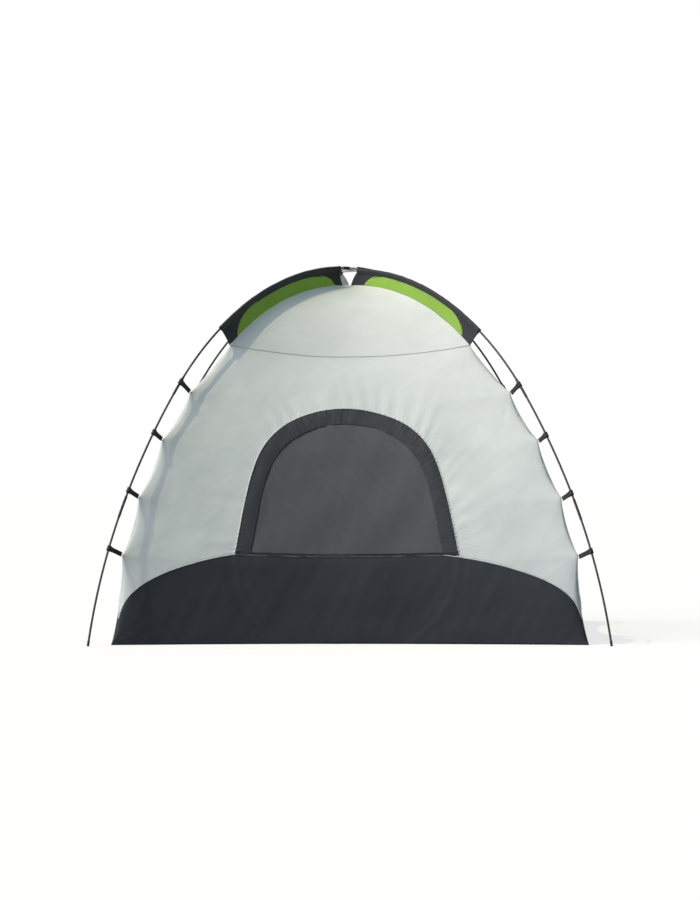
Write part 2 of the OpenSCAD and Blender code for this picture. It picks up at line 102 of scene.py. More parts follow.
# A grid of points (rows, columns, xyz) becomes quads; wrap closes the columns into a ring
def gridMesh(name, points, uv=None, wrap=False, flip=False, capEnds=False):
    m, n = points.shape[:2]
    index = np.arange(m * n).reshape(m, n)
    nextCol = np.roll(index, -1, axis=1) if wrap else index[:, 1:]
    col = index if wrap else index[:, :-1]
    quads = np.stack([col[:-1], nextCol[:-1], nextCol[1:], col[1:]], axis=-1).reshape(-1, 4)
    if flip:
        quads = quads[:, ::-1]
    faces = quads.tolist()
    if capEnds:
        first, last = index[0].tolist(), index[-1].tolist()
        faces += [first if flip else first[::-1], last[::-1] if flip else last]
    mesh = bpy.data.meshes.new(name)
    mesh.from_pydata(points.reshape(-1, 3).tolist(), [], faces)
    mesh.shade_smooth()
    if uv is not None:
        layer = mesh.uv_layers.new(name="cloth")
        corner = np.empty(len(mesh.loops), dtype=np.int64)
        mesh.loops.foreach_get("vertex_index", corner)
        layer.data.foreach_set("uv", uv.reshape(-1, 2)[corner].astype(np.float32).ravel())
    piece = bpy.data.objects.new(name, mesh)
    scene.collection.objects.link(piece)
    return piece


# Thickness is added on the inner side of a sheet
def thicken(piece, thickness, offset=-1.0):
    wall = piece.modifiers.new("thickness", "SOLIDIFY")
    wall.thickness = thickness
    wall.offset = offset
    wall.use_even_offset = False
    return piece


# Sums of sine waves in seeded directions: a smooth, repeatable, uneven field of about unit height
def unevenField(x, y, wavelength, seed, waves=9):
    rng = np.random.default_rng(seed)
    total = np.zeros(np.broadcast(x, y).shape)
    for _ in range(waves):
        angle = rng.uniform(0, math.tau)
        size = 2 * math.pi / (wavelength * rng.uniform(0.6, 1.7))
        across = x * math.cos(angle) + y * math.sin(angle)
        total = total + np.sin(size * across + rng.uniform(0, math.tau))
    return total / math.sqrt(waves)


# A one-dimensional version, for gathers along an edge
def unevenWave(t, wavelength, seed, waves=7):
    rng = np.random.default_rng(seed)
    total = np.zeros(np.shape(t))
    for _ in range(waves):
        size = 2 * math.pi / (wavelength * rng.uniform(0.65, 1.6))
        total = total + np.sin(size * t + rng.uniform(0, math.tau))
    return total / math.sqrt(waves)


# Eases from 0 to 1: three t squared less two t cubed
def smooth(t):
    t = np.clip(t, 0, 1)
    return t * t * (3 - 2 * t)


# A tube swept along a path, with the path's own outward direction as the first axis of its ring
def tubeMesh(name, path, outward, radiusOut, radiusSide, sides):
    tangent = np.gradient(path, axis=0)
    tangent /= np.linalg.norm(tangent, axis=1, keepdims=True)
    outward = outward - (outward * tangent).sum(1, keepdims=True) * tangent
    outward /= np.linalg.norm(outward, axis=1, keepdims=True)
    across = np.cross(tangent, outward)
    angle = np.linspace(0, math.tau, sides, endpoint=False)
    a = np.broadcast_to(radiusOut, (len(path),))[:, None, None]
    b = np.broadcast_to(radiusSide, (len(path),))[:, None, None]
    ring = (path[:, None, :] + a * np.cos(angle)[None, :, None] * outward[:, None, :]
            + b * np.sin(angle)[None, :, None] * across[:, None, :])
    length = np.concatenate([[0], np.cumsum(np.linalg.norm(np.diff(path, axis=0), axis=1))])
    uv = np.stack(np.broadcast_arrays(length[:, None], angle[None, :] * float(np.mean(b))), axis=-1)
    return gridMesh(name, ring, uv, wrap=True, flip=True, capEnds=True)


tent = {
    "sectionLength": 0.6332,
    "turns": (28.8, 23.7, 11.7, 15.0),      # degrees of bend of each section, from the apex down
    "stations": (0.355, 0.4915, 0.601, 0.718, 0.828, 0.9902),
    "reaches": (0.090, 0.068, 0.055, 0.0625, 0.0785, 0.1275),
    "scallops": (0.019, 0.019, 0.019, 0.019, 0.031),
    "reachApex": 0.075,
    "hollowFloor": 0.090,
    "hollowMid": 0.080,
    "cornerRound": 0.014,                   # how far a ridge is rounded off between two loops
    "dipNear": 20,                          # a higher power keeps the ridge's dips nearer to the ridge
}
legLength = 4 * tent["sectionLength"]
stations = np.array(tent["stations"]) * legLength
footHeight = 0.0010306
turns = np.radians(tent["turns"])
arcRadius = tent["sectionLength"] / turns
headings = np.concatenate([[0], np.cumsum(turns)])
centres = np.zeros((4, 2))
tip = np.zeros(2)
for k in range(4):
    centres[k] = tip - arcRadius[k] * np.array([math.sin(headings[k]), math.cos(headings[k])])
    tip = centres[k] + arcRadius[k] * np.array([math.sin(headings[k + 1]), math.cos(headings[k + 1])])
centres[:, 1] += footHeight - tip[1]


# The pole's distance out, height and turn at arc length s from the apex
def poleAt(s):
    s = np.asarray(s, float)
    k = np.clip((s // tent["sectionLength"]).astype(int), 0, 3)
    turn = headings[k] + turns[k] * (s / tent["sectionLength"] - k)
    return centres[k, 0] + arcRadius[k] * np.sin(turn), centres[k, 1] + arcRadius[k] * np.cos(turn), turn


# Gap from pole to ridge, and how far the ridge is drawn in between two loops
def reachAt(s):
    s = np.asarray(s, float)
    k = np.clip(np.searchsorted(stations, s, side="right") - 1, 0, 4)
    t = np.clip((s - stations[k]) / (stations[k + 1] - stations[k]), 0, 1.05)
    reaches = np.array(tent["reaches"])
    lower = reaches[k] + (reaches[k + 1] - reaches[k]) * t
    upper = tent["reachApex"] + (tent["reaches"][0] - tent["reachApex"]) * (s / stations[0]) ** 3
    dip = np.array(tent["scallops"])[k] * 4 * np.clip(t * (1 - t), 0, 1)
    onFin = s < stations[0]
    middle = np.where(onFin, 0, 4 * np.clip(t * (1 - t), 0, 1))
    return np.where(onFin, upper, lower), np.where(onFin, 0, dip), middle


# The side at rest: u from ridge to ridge, s down from the apex; the hollow follows 1 - u^flat, and
# near a ridge the corner is rounded by the root of (distance squared + c squared)
def skin(u, s, flat=2, deep=0.0, rounded=True):
    u, s = np.broadcast_arrays(np.asarray(u, float), np.asarray(s, float))
    r, z, turn = poleAt(s)
    reach, dip, mid = reachAt(s)
    v = s / stations[5]
    hollow = (tent["hollowFloor"] * v * v + 4 * tent["hollowMid"] * v * (1 - v)) * (1 - np.abs(u) ** flat)
    gap = reach + dip * np.abs(u) ** tent["dipNear"]
    w = (r - gap * np.sin(turn)) / math.sqrt(2)
    x = u * (w - 0.0004 - deep * np.sin(turn))
    y = -w + (hollow + deep) * np.sin(turn)
    zz = z - (gap + hollow + deep) * np.cos(turn)
    if rounded:
        c = 0.004 + tent["cornerRound"] * mid ** 0.6
        d = (w * (1 - np.abs(u)) + (y + w)) / math.sqrt(2)
        inward = np.sqrt(d * d + c * c) - d - 0.42 * c * np.exp(-d / (2.2 * c))
        inward *= smooth((s - 0.02) / 0.1)
        x = x - np.sign(u) * inward / math.sqrt(2)
        y = y + inward / math.sqrt(2)
    return np.stack([x, y, zz], axis=-1)


# Half the width of a side at s: the pole's distance out, less its gap, over the root of two
def halfWidth(s):
    r, _, turn = poleAt(s)
    return (r - reachAt(s)[0] * np.sin(turn)) / math.sqrt(2)


# Turns points from the front side to side k, a quarter turn about Z for each
def turnSide(points, k):
    angle = k * math.pi / 2
    x = points[..., 0] * math.cos(angle) - points[..., 1] * math.sin(angle)
    y = points[..., 0] * math.sin(angle) + points[..., 1] * math.cos(angle)
    return np.stack([x, y, points[..., 2]], axis=-1)


# The outward direction of the front side, leaning with the pole and spread towards the ridges by u
def outwardAt(u, s):
    turn = poleAt(s)[2]
    u = np.asarray(u, float)
    v = np.stack(np.broadcast_arrays(u * np.sin(turn), -np.sin(turn), np.cos(turn)), axis=-1)
    return v / np.linalg.norm(v, axis=-1, keepdims=True)


# A form holds an arch's two powers, how far its sides lean in and how far its top leans left
roundForm = (2.2, 2.3, 0.0, 0.0)
tub = {"corner": 0.128, "riseLeft": 0.400, "riseRight": 0.376, "riseBack": 0.095, "riseSide": 0.39}
window = {"width": 0.989, "height": 0.802, "border": 0.070, "topBorder": 1.35, "shift": 0.014, "sill": 2.062,
          "form": (1.9, 5.07, 0.257, 0.004)}
door = {"width": 1.100, "height": 1.120, "zip": 0.009, "form": roundForm,
        "sill": legLength - 0.128 - 0.095 * 0.83}
seamS = stations[0]
seamRise = 0.024


# The seam between roof and wall rises a little from the ridges to its middle
def seamAt(u):
    return seamS - seamRise * (1 - np.asarray(u) ** 2)


# The arch: a is pi at its left foot and 0 at its right; a superellipse in (x, s) whose sides lean in
def arch(a, halfW, height, shift, sill, form=roundForm):
    rise = np.clip(np.sin(a), 0, 1) ** (2 / form[1])
    x = halfW * (1 - form[2] * rise) * np.sign(np.cos(a)) * np.abs(np.cos(a)) ** (2 / form[0])
    return x - shift - form[3] * rise, sill - height * rise


# Angles whose arch points are about evenly spaced along the outline
def archAngles(count, form=roundForm):
    a = math.pi * (1 - np.linspace(0, 1, 20001))
    x, s = arch(a, 0.49, 0.80, 0.0, 0.0, form)
    length = np.concatenate([[0], np.cumsum(np.hypot(np.diff(x), np.diff(s)))])
    return np.interp(np.linspace(0, length[-1], count + 1), length, a)


# The tub's upper edge, an ellipse quarter from each corner that ends in the sill
def tubEdge(u, k):
    if k == 2:
        rise, sill = tub["riseBack"], door["sill"]
    else:
        rise = np.where(np.asarray(u) < 0, tub["riseLeft"], tub["riseRight"]) if k == 0 else tub["riseSide"]
        sill = window["sill"]
    return np.maximum(legLength - tub["corner"] - rise * np.sqrt(np.clip(1 - np.asarray(u) ** 2, 0, 1)), sill)


# The power that the hollow follows: the back is kept flat, for its door
def flatOf(k):
    return 6 if k == 2 else 2


# Small creases and gathers, measured outwards: x across and s down the side, in metres
relief = {
    "billow": 0.0022,
    "rays": 0.0011,
    "raySpread": 0.17,
    "seamGather": 0.00028,
    "archGather": 0.00062,
    "creases": 0.0012,
}


# Billows, rays from each place where the cloth is held, gathers along seams, and round an opening both
# gathers that fade away from it and wider creases, all as seeded uneven waves
def clothRelief(u, s, k):
    w = halfWidth(s)
    x = u * w
    seed = 11 + 7 * k
    out = relief["billow"] * unevenField(x, s, 0.55, seed) * (1 - np.abs(u) ** 8)
    out = out + 0.0005 * unevenField(x * 0.6, s, 0.16, seed + 1)
    places = [stations[0] * 0.99] + list(stations[1:5]) + [stations[5]]
    for i, place in enumerate(places):
        for side in (-1, 1):
            cx = side * float(halfWidth(place))
            inwardX = (cx - x) * side
            down = s - place
            rho = np.hypot(inwardX, down) + 1e-6
            psi = np.arctan2(down, inwardX)
            rays = unevenWave(psi, 0.42, seed + 31 * i + side)
            fade = rho / (rho + 0.035) * np.exp(-rho / relief["raySpread"])
            out = out + relief["rays"] * rays * fade
    fromSeam = np.abs(s - seamAt(u))
    out = out + relief["seamGather"] * unevenWave(x, 0.034, seed + 5) * np.exp(-fromSeam / 0.035)
    out = out + 0.5 * relief["seamGather"] * unevenWave(x, 0.11, seed + 6) * np.exp(-fromSeam / 0.12)
    edge = np.abs(s - tubEdge(u, k))
    out = out + relief["seamGather"] * unevenWave(x, 0.040, seed + 8) * np.exp(-edge / 0.04)
    if k in (0, 2):
        o = window if k == 0 else door
        shift = window["shift"] if k == 0 else 0.0
        a = archAngles(400, o["form"])
        ax, aS = arch(a, o["width"] / 2, o["height"], shift, o["sill"], o["form"])
        along = np.concatenate([[0], np.cumsum(np.hypot(np.diff(ax), np.diff(aS)))])
        bearing = np.arctan2(o["sill"] + 0.02 - aS, ax + shift)
        here = np.arctan2(np.clip(o["sill"] + 0.02 - s, 0, None), x + shift)
        around = np.interp(-here, -bearing, along)
        reachOut = np.interp(-here, -bearing, np.hypot(ax + shift, o["sill"] + 0.02 - aS))
        away = np.clip(np.hypot(x + shift, o["sill"] + 0.02 - s) - reachOut, -0.05, None)
        low = 0.8 + 1.8 * np.exp(-np.clip(o["sill"] - s, 0, None) / 0.30)
        wobble = around + 0.010 * np.sin(away * 60 + 9 * around)
        gathers = unevenWave(wobble, 0.019, seed + 12)
        out = out + relief["archGather"] * low * gathers * np.exp(-np.abs(away) / 0.05)
        wide = unevenWave(around + 0.15 * away, 0.085, seed + 14)
        out = out + relief["creases"] * wide * np.exp(-np.abs(away) / 0.13) * smooth(away / 0.04)
        slanting = unevenField(x + 0.9 * s, (s - 0.9 * x) * 0.22, 0.085, seed + 17)
        out = out + 0.22 * relief["creases"] * slanting * smooth(away / 0.1)
    return out


# A side's panel as a grid of (u, s), with its relief added along the outward direction
def panelPoints(u, s, k, lift=0.0, withRelief=True):
    points = skin(u, s, flatOf(k))
    amount = lift + (clothRelief(u, s, k) if withRelief else 0.0)
    return turnSide(points + outwardAt(u, s) * np.asarray(amount)[..., None], k)


# A side's own UV in metres: across it, and down it by the pole's arc length
def clothUv(u, s):
    return np.stack(np.broadcast_arrays(u * halfWidth(s), s), axis=-1)


# Half the cross products of each quad's edges at two opposite corners, added up
def surfaceArea(points):
    a = np.cross(points[1:, :-1] - points[:-1, :-1], points[:-1, 1:] - points[:-1, :-1])
    b = np.cross(points[1:, :-1] - points[1:, 1:], points[:-1, 1:] - points[1:, 1:])
    return float((np.linalg.norm(a, axis=-1) + np.linalg.norm(b, axis=-1)).sum() / 2)


cut = {"hem": 1.02, "leastShare": 0.31}     # hems enlarge the cut; least share of the rectangle declared


# Works out a sheet's flat size as its UV extent with hems, which is a layout extent and not a measured
# length, and its area as the smooth surface's own, and prints the area when it is not the true one. The
# area is held within the rectangle and not under the least share of it, which OVERSTATES it on finSheet_fr
# (true 0.0177) and finSheet_bl (0.0180 m2)
def declareCloth(piece, points, uv):
    size = uv.reshape(-1, 2).max(0) - uv.reshape(-1, 2).min(0)
    flat = (float(size[0]) * cut["hem"], float(size[1]) * cut["hem"])
    trueArea = surfaceArea(points)
    area = min(trueArea, flat[0] * flat[1])
    area = max(area, cut["leastShare"] * flat[0] * flat[1])
    if area != trueArea:
        print("declared area of", piece.name, round(area, 5), "is not its true one", round(trueArea, 5))


# A material with the looks that stay constant set on its shader's own sockets
def principled(name, colour, roughness, metallic=0.0, sheen=0.0, coat=0.0):
    mat = bpy.data.materials.new(name)
    mat.use_nodes = True
    shader = mat.node_tree.nodes["Principled BSDF"]
    shader.inputs["Base Color"].default_value = (*colour, 1)
    shader.inputs["Roughness"].default_value = roughness
    shader.inputs["Metallic"].default_value = metallic
    shader.inputs["Sheen Weight"].default_value = sheen
    shader.inputs["Sheen Roughness"].default_value = 0.5
    shader.inputs["Coat Weight"].default_value = coat
    shader.inputs["Coat Roughness"].default_value = 0.4
    return mat, mat.node_tree, shader


# Woven cloth: two crossed waves along the piece's own UV in metres make the threads, and slow noise in
# object space makes the colour uneven
def clothMaterial(name, colour, thread, roughness=0.75, sheen=0.1, weave=0.25, uneven=0.05):
    mat, tree, shader = principled(name, colour, roughness, sheen=sheen)
    new, link = tree.nodes.new, tree.links.new
    place = new("ShaderNodeTexCoord")
    height = None
    for axis in ("X", "Y"):
        wave = new("ShaderNodeTexWave")
        wave.bands_direction = axis
        wave.inputs["Scale"].default_value = 1 / (thread * 20)
        wave.inputs["Distortion"].default_value = 0.6
        wave.inputs["Detail"].default_value = 1
        link(place.outputs["UV"], wave.inputs["Vector"])
        if height is None:
            height = wave.outputs["Fac"]
        else:
            both = new("ShaderNodeMath")
            both.operation = "MULTIPLY"
            link(height, both.inputs[0])
            link(wave.outputs["Fac"], both.inputs[1])
            height = both.outputs[0]
    bump = new("ShaderNodeBump")
    bump.inputs["Strength"].default_value = weave
    bump.inputs["Distance"].default_value = thread * 0.5
    link(height, bump.inputs["Height"])
    link(bump.outputs["Normal"], shader.inputs["Normal"])
    noise = new("ShaderNodeTexNoise")
    noise.inputs["Scale"].default_value = 5.0
    noise.inputs["Detail"].default_value = 5
    link(place.outputs["Object"], noise.inputs["Vector"])
    ramp = new("ShaderNodeMapRange")
    ramp.inputs["From Min"].default_value = 0.3
    ramp.inputs["From Max"].default_value = 0.7
    ramp.inputs["To Min"].default_value = 1 - uneven
    ramp.inputs["To Max"].default_value = 1 + uneven
    link(noise.outputs["Fac"], ramp.inputs["Value"])
    tint = new("ShaderNodeVectorMath")
    tint.operation = "SCALE"
    tint.inputs[0].default_value = colour
    link(ramp.outputs["Result"], tint.inputs["Scale"])
    link(tint.outputs["Vector"], shader.inputs["Base Color"])
    return mat


canopyCloth = clothMaterial("canopyCloth", (0.690, 0.745, 0.742), thread=0.0006, roughness=0.7, sheen=0.05)
tubCloth = clothMaterial("tubCloth", (0.0185, 0.0235, 0.0335),
                         thread=0.0008, roughness=0.65, sheen=0.05, uneven=0.06)
borderCloth = clothMaterial("borderCloth", (0.0280, 0.0340, 0.0440),
                            thread=0.0008, roughness=0.7, sheen=0.1, uneven=0.06)
meshCloth = clothMaterial("meshCloth", (0.0810, 0.0905, 0.0970),
                          thread=0.0014, roughness=0.8, sheen=0.1, weave=0.5)
flapCloth = clothMaterial("flapCloth", (0.110, 0.120, 0.125), thread=0.0008)
finCloth = clothMaterial("finCloth", (0.0175, 0.0190, 0.0280), thread=0.0008, roughness=0.65, sheen=0.1)
# A grey copy of the black fin cloth for one face of each fin: painted light, standing in for that face being
# lit
finPaintedLitFace = clothMaterial("finPaintedLitFace", (0.16, 0.17, 0.175), thread=0.0008, roughness=0.7)
greenCloth = clothMaterial("greenCloth", (0.270, 0.485, 0.050), thread=0.0008, roughness=0.6, sheen=0.1)
webbing = clothMaterial("webbing", (0.014, 0.015, 0.018), thread=0.0016, roughness=0.6, weave=0.6)
pipingCloth = clothMaterial("pipingCloth", (0.66, 0.71, 0.70), thread=0.0008, roughness=0.7)
# Blue-grey cloth for the cord just under each roof seam: painted shadow, the colour of the shade under the
# seam's overlap
paintedSeamShadowCloth = clothMaterial("paintedSeamShadowCloth", (0.24, 0.31, 0.37), thread=0.0008, roughness=0.7)
floorSheet = clothMaterial("floorSheet", (0.045, 0.050, 0.058), thread=0.0016, roughness=0.5, weave=0.4)
zipTape = clothMaterial("zipTape", (0.018, 0.019, 0.023), thread=0.0009, roughness=0.55)
print("materials made")

stageFloor, stageTree, stageShader = principled("stageFloor", studio["floorColour"], 1.0)
stageShader.inputs["Specular IOR Level"].default_value = 0
glow = stageTree.nodes.new("ShaderNodeEmission")
glow.inputs["Strength"].default_value = studio["floorGlow"]
onlySeen = stageTree.nodes.new("ShaderNodeLightPath")
glowMix = stageTree.nodes.new("ShaderNodeMixShader")
clear = stageTree.nodes.new("ShaderNodeAddShader")
stageTree.links.new(stageShader.outputs[0], clear.inputs[0])
stageTree.links.new(glow.outputs[0], clear.inputs[1])
stageTree.links.new(onlySeen.outputs["Is Camera Ray"], glowMix.inputs[0])
stageTree.links.new(stageShader.outputs[0], glowMix.inputs[1])
stageTree.links.new(clear.outputs[0], glowMix.inputs[2])
stageTree.links.new(glowMix.outputs[0], stageTree.nodes["Material Output"].inputs[0])
span = np.linspace(-60, 60, 2)
ground = gridMesh("ground", np.stack([*np.meshgrid(span, span), np.full((2, 2), -0.0005)], axis=-1))
ground.data.materials.append(stageFloor)

sideNames = ("front", "right", "back", "left")
panelGrid = {"roofRows": 90, "roofColumns": 150, "wallRows": 122, "wallColumns": 200,
             "archColumns": 400, "archRows": 90, "tubRows": 44, "tubColumns": 220, "clothThickness": 0.0008}


# A side's sheet from its grid of (u, s), whose flat size and area are worked out from the same grid without
# its creases
def addSheet(name, u, s, k, material, replaced, lift=0.0):
    points = panelPoints(u, s, k, lift)
    uv = clothUv(u, s)
    piece = gridMesh(name, points, uv)
    piece.data.materials.append(material)
    thicken(piece, panelGrid["clothThickness"])
    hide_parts(replaced)
    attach(piece, "tent")
    declareCloth(piece, panelPoints(u, s, k, lift, withRelief=False), uv)


# Columns from ridge to ridge, closer together near the ridges, as a sine makes them
def sideColumns(count):
    return np.sin(np.linspace(-1, 1, count) * math.pi / 2 * 0.94) / math.sin(math.pi / 2 * 0.94)


for k, name in enumerate(sideNames):
    u = sideColumns(panelGrid["roofColumns"])[None, :]
    s = 0.003 + (seamAt(u) - 0.003) * (np.linspace(0, 1, panelGrid["roofRows"]) ** 0.8)[:, None]
    u, s = np.broadcast_arrays(u, s)
    addSheet("roofSheet" + name.title(), u, s, k, canopyCloth, "roof_" + name)
print("roof sheets made")


# A wall with an arch: rows run from the outer edge in to the arch, columns from its left foot over
# the top to its right foot, and the lowest edges follow the tub
def archWall(k, opening, halfW, shift):
    n, m = panelGrid["archColumns"], panelGrid["archRows"]
    t = np.linspace(0, 1, n + 1)
    legShare = 0.26
    ax, aS = arch(archAngles(n, opening["form"]), halfW, opening["height"], shift, opening["sill"],
                  opening["form"])
    au = ax / halfWidth(aS)
    low = float(tubEdge(1.0, k))
    footL, footR = au[0], au[-1]
    up = np.clip(t / legShare, 0, 1)
    over = np.clip((t - legShare) / (1 - 2 * legShare), 0, 1)
    down = np.clip((t - 1 + legShare) / legShare, 0, 1)
    eu = -1 + 2 * over
    es = low + (seamAt(eu) - low) * (up - down)
    q = (np.linspace(0, 1, m + 1) ** 1.15)[:, None]
    u = (1 - q) * eu + q * au
    s = (1 - q) * es + q * aS
    bottomL = -1 + (footL + 1) * q
    bottomR = 1 + (footR - 1) * q
    fixL = tubEdge(bottomL, k) - ((1 - q) * low + q * aS[0])
    fixR = tubEdge(bottomR, k) - ((1 - q) * low + q * aS[-1])
    nearL = np.clip(1 - t / legShare, 0, 1) ** 2
    nearR = np.clip(1 - (1 - t) / legShare, 0, 1) ** 2
    return u, s + nearL * fixL + nearR * fixR


u, s = archWall(0, window, window["width"] / 2, window["shift"])
addSheet("wallSheetFront", u, s, 0, canopyCloth, "wall_front")
u, s = archWall(2, door, door["width"] / 2, 0.0)
addSheet("wallSheetBack", u, s, 2, canopyCloth, "wall_back")
for k in (1, 3):
    u = sideColumns(panelGrid["wallColumns"])[None, :]
    low = tubEdge(u, k)
    s = seamAt(u) + (low - seamAt(u)) * np.linspace(0, 1, panelGrid["wallRows"])[:, None]
    u, s = np.broadcast_arrays(u, s)
    addSheet("wallSheet" + sideNames[k].title(), u, s, k, canopyCloth, "wall_" + sideNames[k])
print("wall sheets made")


# Where a side's outer face reaches the floor, by halving
def floorLine(u, k):
    lo, hi = np.full(np.shape(u), stations[4]), np.full(np.shape(u), legLength)
    for _ in range(30):
        mid = (lo + hi) / 2
        above = skin(u, mid, flatOf(k))[..., 2] > 0.0006
        lo, hi = np.where(above, mid, lo), np.where(above, hi, mid)
    return lo


for k, name in enumerate(sideNames):
    u = sideColumns(panelGrid["tubColumns"])[None, :]
    top, low = tubEdge(u, k), floorLine(u, k)
    rows = np.linspace(0, 1, panelGrid["tubRows"])[:, None]
    s = top + (low - top) * rows
    u, s = np.broadcast_arrays(u, s)
    x = u * halfWidth(s)
    folds = (0.0016 * unevenField(x, s * 1.6, 0.42, 50 + k)
             + 0.0006 * unevenField(x + 0.5 * s, s * 0.4, 0.12, 60 + k))
    addSheet("tubSheet" + name.title(), u, s, k, tubCloth, "tub_" + name,
             lift=folds * smooth(rows * 6) * smooth((1 - rows) * 6))
print("tub sheets made")


legNames = ("fl", "fr", "br", "bl")
fin = {"start": (0.066, 0.052, 0.052, 0.052), "low": (0.050, 0.007, 0.007, 0.007), "top": 0.0102,
       "insetFrom": 0.100, "insetTo": 0.922 * stations[0], "band": 0.018, "ripple": 0.0022,
       "columns": 170, "rows": 14, "insetRows": 26}
poleLift = 0.00606


# A point in the upright plane of a leg, at a distance d under the pole's middle, and off the plane by n
def legPoint(k, out, z, n=0.0):
    azimuth = math.radians(225 + 90 * k)
    side = azimuth + math.pi / 2
    return np.stack(np.broadcast_arrays(out * math.cos(azimuth) + n * math.cos(side),
                                        out * math.sin(azimuth) + n * math.sin(side), z), axis=-1)


# One pole crosses over the other, so each is raised or lowered by the same amount
def liftOf(k):
    return poleLift if k % 2 == 0 else -poleLift


# A point at a depth under the pole, square to it, in the leg's plane
def underPole(s, depth, lift=0.0):
    r, z, turn = poleAt(s)
    return r - depth * np.sin(turn), z - depth * np.cos(turn) + lift


# The black band's lower edge: a lens-shaped inset leaves a narrow band at its middle
def bandAt(s):
    t = (s - fin["insetFrom"]) / (fin["insetTo"] - fin["insetFrom"])
    ridge = reachAt(s)[0] - 0.0006
    lens = fin["band"] + (ridge - fin["band"]) * np.abs(2 * t - 1) ** 6
    return np.where((t > 0) & (t < 1), lens, ridge)


# The fin between the pole's lower side and the band's edge, bowed at its upper end
def finGrid(k):
    p = (np.linspace(0, 1, fin["columns"]) ** 1.1)[None, :]
    q = np.linspace(0, 1, fin["rows"])[:, None]
    low = fin["low"][k] + (seamS - fin["low"][k]) * p
    topOut, topZ = underPole(fin["start"][k] + (seamS - fin["start"][k]) * p, fin["top"], liftOf(k))
    lowOut, lowZ = underPole(low, bandAt(low))
    bow = q ** 3 if k == 0 else q + 0.12 * np.sin(math.pi * q)
    across = q + (bow - q) * (1 - p) ** 14
    off = fin["ripple"] * unevenField(low, q * 0.07, 0.19, 80 + k) * np.sin(math.pi * q) * smooth(p * 9)
    points = legPoint(k, topOut + (lowOut - topOut) * across, topZ + (lowZ - topZ) * q, off)
    return points, np.stack(np.broadcast_arrays(low, q * 0.07), axis=-1)


# The inset between the band's edge and the ridge, rippled off its plane
def insetGrid(k):
    s = np.linspace(fin["insetFrom"] + 0.004, fin["insetTo"] - 0.004, fin["columns"])[None, :]
    q = np.linspace(0, 1, fin["insetRows"])[:, None]
    top, low = bandAt(s) - 0.006, reachAt(s)[0] - 0.0004
    depth = top + (low - top) * q
    off = 0.0016 * unevenField(s, depth, 0.15, 90 + k) * np.sin(math.pi * q)
    return legPoint(k, *underPole(s, depth), off), np.stack(np.broadcast_arrays(s, depth), axis=-1)


# The sleeve's cross-section is a circle round the pole, open below, whose two edges run down the fin
def sleeveGrid(k):
    s = np.linspace(fin["start"][k], seamS, 240)[:, None]
    q = np.linspace(-1, 1, 37)[None, :]
    angle = np.clip(q / 0.80, -1, 1) * math.radians(152)
    flare = 1 + 0.10 * np.exp(-(s - fin["start"][k]) / 0.006) + 0.10 * np.exp(-(seamS - s) / 0.006)
    radius = 0.0088 * flare + 0.00045 * unevenField(s, angle * 0.01, 0.07, 100 + k)
    tail = np.clip((np.abs(q) - 0.80) / 0.20, 0, 1)
    n = radius * np.sin(angle) * (1 - tail) + tail * np.sign(q) * 0.0014
    up = radius * np.cos(angle) * (1 - tail) - tail * 0.0175
    r, z, turn = poleAt(s)
    points = legPoint(k, r + up * np.sin(turn), z + liftOf(k) + up * np.cos(turn), n)
    return points, np.stack(np.broadcast_arrays(s, q * 0.036), axis=-1)


# Any other sheet: its grid, its thickness, what it stands for and, when it is held, its flat size
def addCloth(name, points, uv, materials, replaced, thickness, held, offset=0.0,
             body="tent", flip=False, areaPoints=None):
    piece = gridMesh(name, points, uv, flip=flip)
    for material in materials:
        piece.data.materials.append(material)
    thicken(piece, thickness, offset)
    if len(materials) > 1:
        piece.modifiers["thickness"].material_offset = 1
    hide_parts(replaced)
    if body:
        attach(piece, body)
    if held:
        declareCloth(piece, points if areaPoints is None else areaPoints, uv)
    return piece


for k, leg in enumerate(legNames):
    points, uv = finGrid(k)
    # One face of each fin gets the grey copy: painted light standing in for that face being lit, the other
    # keeps the black cloth
    shadedAndPaintedLitFaces = [finCloth, finPaintedLitFace] if k % 2 == 0 else [finPaintedLitFace, finCloth]
    addCloth("finSheet_" + leg, points, uv, shadedAndPaintedLitFaces, "fin_" + leg, 0.0014, "stretched")
    points, uv = insetGrid(k)
    addCloth("finInset_" + leg, points, uv, [greenCloth], "inset_" + leg, 0.0008, "stretched")
    points, uv = sleeveGrid(k)
    addCloth("poleSleeve_" + leg, points, uv, [finCloth], "sleeve_" + leg, 0.0008, "folded",
             flip=True)
print("fins made")


web = {"width": 0.020, "atPole": 0.0235, "thickness": 0.0014, "eye": 0.0078}


# One loop as a band: up one side of its tail, round the pole and down the other side
def loopGrid(k, n):
    s = stations[n]
    r, z, turn = (float(v) for v in poleAt(s))
    tail = float(reachAt(s)[0]) + liftOf(k) * math.cos(turn) - 0.002
    angle = np.linspace(-math.pi + 0.35, math.pi - 0.35, 25)
    eyeN, eyeUp = web["eye"] * np.sin(angle), web["eye"] * np.cos(angle)
    down = np.linspace(0, 1, 14)[1:]
    lowN = 0.0009 + (eyeN[-1] - 0.0009) * (1 - smooth(down * 3.2))
    lowUp = eyeUp[-1] + (-tail - eyeUp[-1]) * down
    pathN = np.concatenate([-lowN[::-1], eyeN, lowN])
    pathUp = np.concatenate([lowUp[::-1], eyeUp, lowUp])
    half = (web["width"] + (web["atPole"] - web["width"]) * smooth((pathUp + 0.028) / 0.02)) / 2
    edge = np.linspace(-1, 1, 7)
    along = half[:, None] * edge[None, :]
    twist = 0.0005 * np.sin(7 * pathUp[:, None] / tail + n + k) * edge[None, :]
    out = r + pathUp[:, None] * math.sin(turn) + along * math.cos(turn)
    height = z + liftOf(k) + pathUp[:, None] * math.cos(turn) - along * math.sin(turn)
    length = np.concatenate([[0], np.cumsum(np.hypot(np.diff(pathN), np.diff(pathUp)))])
    uv = np.stack(np.broadcast_arrays(length[:, None] + 0.2 * n, along), axis=-1)
    return legPoint(k, out, height, pathN[:, None] + twist), uv


